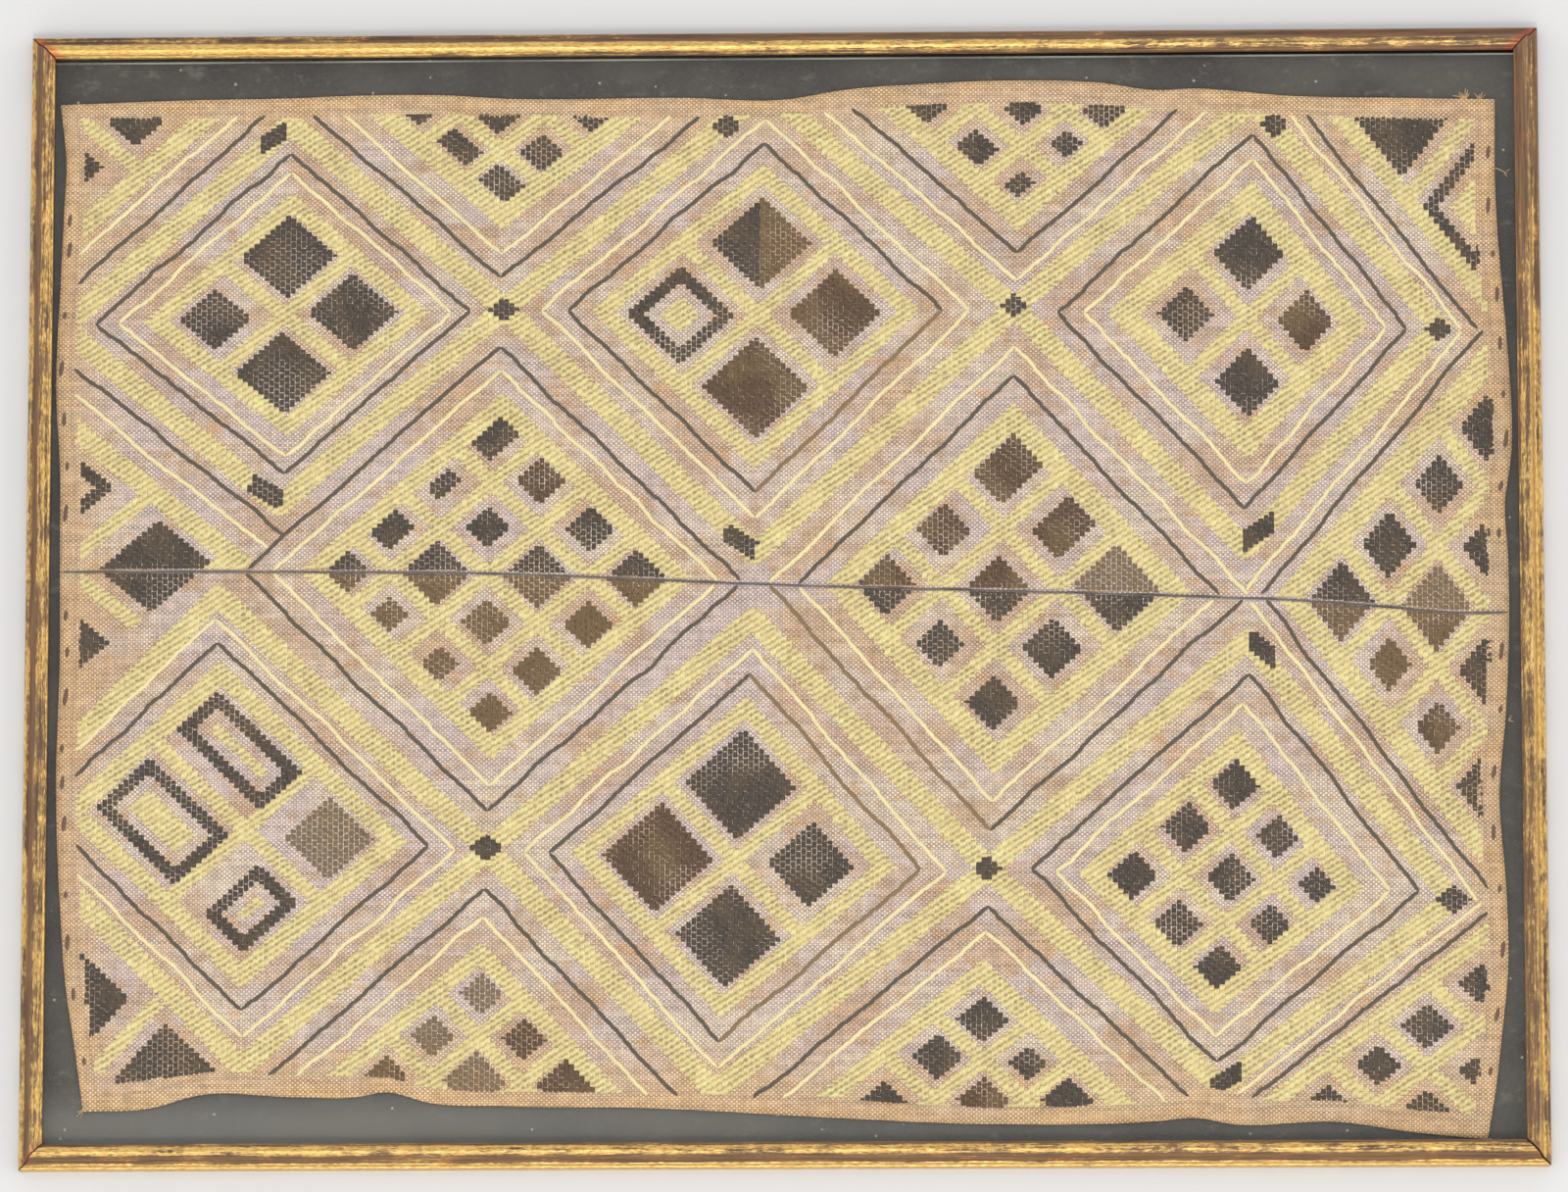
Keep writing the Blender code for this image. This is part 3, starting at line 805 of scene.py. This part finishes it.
def ground_finish():
    """Plain weave of split raffia. The hue goes from greyed mauve with tan patches in the field to orange tan
    towards the cloth's edges; warp and weft cross over it in turn, each thread with its own shade. The colour is
    darkened as painted shade between the crossing threads and along a thin line at the hems' fold."""
    f = Finish("raffia_weave")
    wander = f.noise((30, 30, 30), 0.0)
    split = f.node("ShaderNodeSeparateXYZ", {"Vector": f.place})
    drift = f.math("MULTIPLY", wander, 1.4)
    x = f.math("ADD", f.math("MULTIPLY", split.outputs[0], 1000 * math.pi / WARP_PITCH), drift)
    y = f.math("ADD", f.math("MULTIPLY", split.outputs[1], 1000 * math.pi / WEFT_PITCH), drift)
    product = f.math("MULTIPLY", f.math("SINE", x), f.math("SINE", y))
    warp_over = f.ramp(product, -0.12, 0.12)
    pillow = f.math("POWER", f.math("ABSOLUTE", product), 0.45)
    warp = f.ramp(f.noise((WARP_PITCH * 1.3, 40, 40), 2.0, 0.7), 0.3, 0.7, 1.04, 1.30)
    weft = f.ramp(f.noise((40, WEFT_PITCH * 1.3, 40), 2.0, 0.7), 0.3, 0.7, 0.50, 0.92)
    threads = f.math("ADD", weft, f.math("MULTIPLY", warp_over, f.math("SUBTRACT", warp, weft)))
    pale = f.ramp(f.noise((50, 38, 40), 3.0, 0.6), 0.40, 0.62)
    hue = f.blend(pale, linear(238, 216, 212), linear(248, 227, 210))
    patch = f.ramp(f.noise((34, 26, 30), 3.0, 0.65), 0.44, 0.62)
    hue = f.blend(f.math("MULTIPLY", patch, 0.75), hue, linear(230, 191, 158))
    fleck = f.ramp(f.noise((9, 7, 9), 2.0, 0.7), 0.54, 0.70)
    hue = f.blend(f.math("MULTIPLY", fleck, 0.55), hue, linear(238, 189, 136))
    rim = f.attribute("rim").outputs["Fac"]
    edge = f.math("ADD", rim, f.math("MULTIPLY", f.noise((18, 18, 18), 3.0, 0.6), 22.0))
    hue = f.blend(f.ramp(edge, 14.0, 46.0, 0.75, 0.0), hue, linear(247, 207, 160))
    hue = f.blend(f.ramp(edge, 8.0, 19.0, 0.78, 0.0), hue, linear(255, 210, 158))
    wavy = f.math("ADD", rim, f.math("MULTIPLY", f.noise((14, 14, 14), 1.0), 2.4))
    turn = f.ramp(wavy, 8.5, 9.7, 0.0, 1.0)
    crease = f.ramp(wavy, 6.9, 8.3, 1.0, 0.0)
    fold_shade = f.math("MAXIMUM", turn, crease)
    # painted shade: the colour is darkened between the crossing threads, where the pillow is low, and along a thin
    # line at the hem's fold
    shade = f.math("MULTIPLY", f.ramp(pillow, 0.05, 0.8, 0.34, 1.04), f.ramp(fold_shade, 0.0, 1.0, 0.88, 1.0))
    cloth = f.blend(1.0, hue, f.grey(f.math("MULTIPLY", shade, threads)), "MULTIPLY")
    uneven = f.ramp(f.noise((5, 4, 5), 2.0, 0.7), 0.36, 0.62, 0.86, 1.05)
    cloth = f.blend(1.0, cloth, f.grey(uneven), "MULTIPLY")
    soft = f.bump(f.noise((7, 6, 7), 2.0, 0.6), 1.0, 1.0)
    weave = f.bump(pillow, 0.9, 0.2, soft)
    return f.surface(cloth, 0.82, weave, **{"Sheen Weight": 0.1, "Specular IOR Level": 0.25})


def fibre_finish(name, fibre, low, high):
    """Cut pile or thread: the stitch's own tint, streaked by fibres of the given size from low to high."""
    f = Finish(name)
    tint = f.attribute("tint").outputs["Color"]
    streak = f.noise(fibre, 3.0, 0.7)
    colour = f.blend(1.0, tint, f.grey(f.ramp(streak, 0.3, 0.72, low, high)), "MULTIPLY")
    normal = f.bump(streak, 0.5, 0.2)
    return f.surface(colour, 0.78, normal, **{"Sheen Weight": 0.08, "Specular IOR Level": 0.2})


def board_finish():
    """Charcoal board: a faint fibre grain, a painted reflection that pales it along its lower edge and more so
    towards its left, and rubbed patches.
    """
    f = Finish("charcoal_card")
    grain = f.noise((1.6, 1.6, 1.6), 2.0, 0.6)
    cloud = f.noise((60, 45, 50), 3.0, 0.6)
    split = f.node("ShaderNodeSeparateXYZ", {"Vector": f.place})
    colour = f.blend(f.ramp(cloud, 0.35, 0.7), linear(74, 71, 71), linear(94, 91, 88))
    colour = f.blend(f.ramp(grain, 0.40, 0.75, 0.0, 0.14), colour, linear(128, 126, 118))
    # painted reflection: paler along the lower edge and towards the left, where the glass mirrored the room
    low = f.ramp(split.outputs[1], -0.246, -0.222, 1.0, 0.0)
    left = f.ramp(split.outputs[0], -0.28, 0.30, 0.55, 0.05)
    colour = f.blend(f.math("MULTIPLY", low, left), colour, linear(150, 149, 146))
    rubbed = f.ramp(f.noise((11, 7, 9), 4.0, 0.75), 0.54, 0.74, 0.0, 0.35)
    colour = f.blend(rubbed, colour, linear(150, 147, 138))
    specks = f.node("ShaderNodeTexVoronoi", {"Vector": f.scaled((11, 11, 11)), "Scale": 1.0}).outputs["Distance"]
    colour = f.blend(f.ramp(specks, 0.04, 0.07, 0.8, 0.0), colour, linear(200, 196, 182))
    return f.surface(colour, 0.85, f.bump(grain, 0.15, 0.1), **{"Specular IOR Level": 0.25})


# A glass face's mirror share seen square on, what it gains at a grazing view, and where the dust line and the
# painted shadow of the rail above it begin, in metres
SQUARE_MIRROR = 0.0123
GRAZING_MIRROR = 0.4
DUST_LINE = 0.2521
RAIL_SHADOW_START = 0.2523


def glass_finish():
    """Low-glare picture glass: light goes straight through, and each face adds its mirror image of the room, the
    share SQUARE_MIRROR plus GRAZING_MIRROR times the fifth power of 1 - cos of the angle of view. A thread of pale
    dust lies along the top edge, and above it a dark band of painted shadow stands for the rail's inner wall and
    the gap under it in shade, darker towards +X."""
    f = Finish("picture_glass")
    clear = f.node("ShaderNodeBsdfTransparent", {"Color": (0.916, 0.915, 0.900, 1.0)})
    shine = f.node("ShaderNodeBsdfGlossy", {"Color": (1, 1, 1, 1), "Roughness": 0.02})
    facing = f.node("ShaderNodeLayerWeight", {"Blend": 0.5}).outputs["Facing"]
    share = f.math("MULTIPLY_ADD", f.math("POWER", facing, 5.0), GRAZING_MIRROR, SQUARE_MIRROR)
    mixed = f.node("ShaderNodeMixShader", {0: share, 1: clear.outputs[0], 2: shine.outputs[0]})
    dust_and_shadow_paint = f.node("ShaderNodeBsdfDiffuse")
    split = f.node("ShaderNodeSeparateXYZ", {"Vector": f.place})
    x, y = split.outputs[0], split.outputs[1]
    off = f.math("ABSOLUTE", f.math("SUBTRACT", y, DUST_LINE))
    broken = f.math("ADD", f.math("MULTIPLY", f.math("SINE", f.math("MULTIPLY", x, 61.0)), 0.25), 0.6)
    line = f.math("MULTIPLY", f.ramp(off, 0.0001, 0.00025, 0.7, 0.0), broken)
    # painted shadow: a dark band on the glass above the dust line, where the rail's inner wall and the gap under
    # it lie in shade, stronger towards +X
    painted_rail_shadow = f.math("MULTIPLY", f.ramp(y, RAIL_SHADOW_START, RAIL_SHADOW_START + 0.0003, 0.0, 0.9), f.ramp(x, -0.15, 0.3, 0.3, 1.0))
    in_rail_shadow = f.ramp(y, RAIL_SHADOW_START, RAIL_SHADOW_START + 0.0002)
    f.feed(dust_and_shadow_paint.inputs["Color"], f.blend(in_rail_shadow, linear(206, 206, 190), linear(24, 22, 20)))
    dust_and_shadow = f.math("MAXIMUM", line, painted_rail_shadow)
    final = f.node("ShaderNodeMixShader", {0: dust_and_shadow, 1: mixed.outputs[0], 2: dust_and_shadow_paint.outputs[0]})
    f.tree.links.new(final.outputs[0], f.output.inputs["Surface"])
    f.tree.nodes.remove(f.shader)
    return f.material


# How much gold is left on each rail. Columns: the axis it runs along, the share of gold on its lip, in its cove,
# on its ridge and beside the sight edge, what is added to these at its low end and at its high end along that
# axis, and the red bole at its end. The shares are partly wear and partly painted light: the bottom rail's lip and
# the right rail's cove keep gold as a painted highlight where light caught them, and the top rail's lip and cove
# and the left rail's cove are brown wood as painted shade.
RAIL_GOLD_AND_SHADE = {
    "rail_top": (0, 0.15, 0.05, 0.70, 0.40, 0.35, -0.25, 1.0),
    "rail_bottom": (0, 0.90, 0.20, 0.62, 0.20, 0.10, -0.05, 0.1),
    "rail_left": (1, 0.55, 0.05, 0.45, 0.60, 0.05, 0.0, 0.3),
    "rail_right": (1, 0.60, 0.80, 0.50, 0.40, -0.15, -0.40, 0.1),
}
# The frame's outer edges from its centre along x and y
OUTER_EDGES = (350, 265)


def gilt_finish(node):
    """Worn gilding on one rail: each part of the moulding keeps its own share of gold, partly from wear and partly
    as painted light, more gold where that side caught the light and brown wood where it lay in shade; long streaks
    and fine rubs break it up, and brown wood with red bole shows between. The mitres are dark lines."""
    along, lip, cove, ridge, sight, low, high, red = RAIL_GOLD_AND_SHADE[node]
    f = Finish("gilt_" + node)
    split = f.node("ShaderNodeSeparateXYZ", {"Vector": f.place})
    half = OUTER_EDGES[along] * MM
    from_side = f.math("SUBTRACT", OUTER_EDGES[1 - along] * MM, f.math("ABSOLUTE", split.outputs[1 - along]))
    from_end = f.math("SUBTRACT", half, f.math("ABSOLUTE", split.outputs[along]))
    inwards = f.math("MULTIPLY", from_side, 1000.0)
    mitre = f.math("MULTIPLY", f.math("SUBTRACT", from_end, from_side), 707.0)
    streak_size = (38, 1.3, 1.3) if along == 0 else (1.3, 38, 1.3)
    rub_size = (3.0, 0.7, 0.7) if along == 0 else (0.7, 3.0, 0.7)
    streak = f.noise(streak_size, 5.0, 0.7)
    rub = f.noise(rub_size, 4.0, 0.7)
    mottle = f.noise((16, 16, 16), 4.0, 0.6)
    # painted light as well as wear: these shares give gold where a side of the moulding caught the light and brown
    # wood where it lay in shade
    kept = f.ramp(inwards, 1.9, 2.9, lip, cove)
    kept = f.math("ADD", kept, f.ramp(inwards, 4.8, 6.2, 0.0, ridge - cove))
    kept = f.math("ADD", kept, f.ramp(inwards, 9.3, 10.6, 0.0, sight - ridge))
    kept = f.math("ADD", kept, f.ramp(split.outputs[along], -half, 0.1 * half, low, 0.0))
    kept = f.math("ADD", kept, f.ramp(split.outputs[along], 0.1 * half, half, 0.0, high))
    broken = f.math("ADD", f.math("MULTIPLY", streak, 1.5), f.math("ADD", rub, mottle))
    gold = f.ramp(f.math("SUBTRACT", f.math("ADD", kept, broken), 1.75), 0.34, 0.72)
    leaf = f.blend(f.ramp(rub, 0.3, 0.7), linear(170, 127, 60), linear(226, 191, 118))
    wood = f.blend(f.ramp(streak, 0.3, 0.7), linear(72, 50, 32), linear(132, 97, 60))
    wood = f.blend(f.ramp(mottle, 0.52, 0.66, 0.0, 0.4), wood, linear(134, 70, 42))
    colour = f.blend(gold, wood, leaf)
    bole = f.math("MULTIPLY", f.ramp(mitre, 1.5, 4.5, red, 0.0), f.ramp(rub, 0.42, 0.55))
    colour = f.blend(f.math("MULTIPLY", bole, 0.8), colour, linear(176, 56, 36))
    colour = f.blend(f.ramp(mitre, 0.2, 0.5, 0.85, 0.0), colour, linear(40, 28, 22))
    rough = f.ramp(gold, 0.0, 1.0, 0.6, 0.34)
    normal = f.bump(f.math("ADD", f.math("MULTIPLY", streak, 0.6), rub), 0.5, 0.22)
    f.feed(f.shader.inputs["Metallic"], f.math("MULTIPLY", gold, 0.68))
    return f.surface(colour, rough, normal)


def repaint(node, finish):
    """Gives a node of the CAD its finish."""
    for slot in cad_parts[node].material_slots:
        slot.material = finish


def studio():
    """Pale floor under soft light: nearly even air, a little brighter low down and towards +X, and one round key
    light high up towards -Y."""
    bpy.ops.mesh.primitive_plane_add(size=9.0, location=(0, 0, 0))
    floor = bpy.context.object
    floor.name = "studio_floor"
    f = Finish("pale_floor")
    floor.data.materials.append(f.surface(linear(205, 205, 206), 0.9, **{"Specular IOR Level": 0.1}))

    world = bpy.data.worlds.new("studio_air")
    world.use_nodes = True
    bpy.context.scene.world = world
    tree = world.node_tree

    def ramp(value, low, high, start, end):
        span = tree.nodes.new("ShaderNodeMapRange")
        span.interpolation_type = "SMOOTHSTEP"
        tree.links.new(value, span.inputs["Value"])
        for socket, number in zip(("From Min", "From Max"), (low, high)):
            span.inputs[socket].default_value = number
        for socket, number in zip(("To Min", "To Max"), (start, end)):
            if isinstance(number, bpy.types.NodeSocket):
                tree.links.new(number, span.inputs[socket])
            else:
                span.inputs[socket].default_value = number
        return span.outputs[0]

    coordinates = tree.nodes.new("ShaderNodeTexCoord")
    split = tree.nodes.new("ShaderNodeSeparateXYZ")
    tree.links.new(coordinates.outputs["Generated"], split.inputs[0])
    x, y, z = split.outputs
    side = ramp(x, 0.1, 0.9, 1.3, 1.6)
    across = tree.nodes.new("ShaderNodeMath")
    across.operation = "MULTIPLY"
    tree.links.new(side, across.inputs[0])
    tree.links.new(ramp(y, -0.8, 0.8, 1.2, 1.0), across.inputs[1])
    strength = ramp(z, 0.3, 0.95, across.outputs[0], 0.95)
    back = tree.nodes["Background"]
    back.inputs["Color"].default_value = (1.0, 0.995, 0.985, 1.0)
    tree.links.new(strength, back.inputs["Strength"])

    lamp = bpy.data.lights.new("key_light", "AREA")
    lamp.shape = "DISK"
    lamp.size = 0.9
    lamp.energy = 48.0
    lamp.color = (1.0, 0.985, 0.95)
    stand = bpy.data.objects.new("key_light", lamp)
    bpy.context.scene.collection.objects.link(stand)
    stand.location = (0.05, -2.1, 3.6)
    aim_at(stand, (0, 0, 0))


def aim_at(thing, target):
    """Turns a light so that its -Z axis points at the target."""
    heading = Vector(target) - thing.location
    thing.rotation_euler = heading.to_track_quat("-Z", "Y").to_euler()


# The camera, fitted to the photograph: distance, tilt towards -Y and swing towards +X in degrees, aim, lens
VIEW_DISTANCE = 4.54
VIEW_TILT = 9.5
VIEW_SWING = 1.85
VIEW_AIM = (0.0006, -0.0014, 0.012)
VIEW_LENS = 226.5
SENSOR_WIDTH = 36.0


def camera():
    """Looks down on the frame from a little towards its lower edge."""
    tilt, swing = math.radians(VIEW_TILT), math.radians(VIEW_SWING)
    back = Vector((math.cos(tilt) * math.sin(swing), -math.sin(tilt), math.cos(tilt) * math.cos(swing)))
    right = Vector((0, 1, 0)).cross(back).normalized()
    up = back.cross(right)
    lens = bpy.data.cameras.new("photo_camera")
    lens.lens = VIEW_LENS
    lens.sensor_width = SENSOR_WIDTH
    lens.sensor_fit = "HORIZONTAL"
    lens.clip_end = 50.0
    made = bpy.data.objects.new("photo_camera", lens)
    bpy.context.scene.collection.objects.link(made)
    turn = Matrix((right, up, back)).transposed()
    made.matrix_world = Matrix.Translation(Vector(VIEW_AIM) + back * VIEW_DISTANCE) @ turn.to_4x4()
    bpy.context.scene.camera = made


def dress():
    """Makes the pieces and gives every surface its finish."""
    weave = ground_finish()
    pile = fibre_finish("raffia_pile", (0.3, 3.5, 0.6), 0.84, 1.10)
    line = fibre_finish("raffia_thread", (0.5, 0.5, 0.4), 0.9, 1.08)
    rows = stitches()
    below = rows[:, 1] < eased(SEAM, rows[:, 0])
    dark = rows[:, 3] > 1
    for side, sign, hem in (("upper", 1, TOP_HEM), ("lower", -1, BOTTOM_HEM)):
        here = below if side == "lower" else ~below
        cloth = cloth_panel("raffia_panel_" + side, hem, sign)
        cloth.data.materials.append(weave)
        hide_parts("cloth_" + side)
        extras = [
            tufts("yellow_pile_" + side, rows[here & ~dark], 1 + sign),
            tufts("dark_pile_" + side, rows[here & dark], 7 + sign),
            gather("stem_lines_" + side, lozenge_lines(side == "lower")),
        ]
        for piece in extras[:2]:
            piece.data.materials.append(pile)
        extras[2].data.materials.append(line)
    for piece in (seam_thread(), side_stitches(), frays()):
        piece.data.materials.append(line)
    repaint("backing_board", board_finish())
    repaint("glass_pane", glass_finish())
    for node in RAIL_GOLD_AND_SHADE:
        repaint(node, gilt_finish(node))


camera()
studio()
dress()
settings = bpy.context.scene.view_settings
settings.view_transform = "Standard"
settings.look = "None"
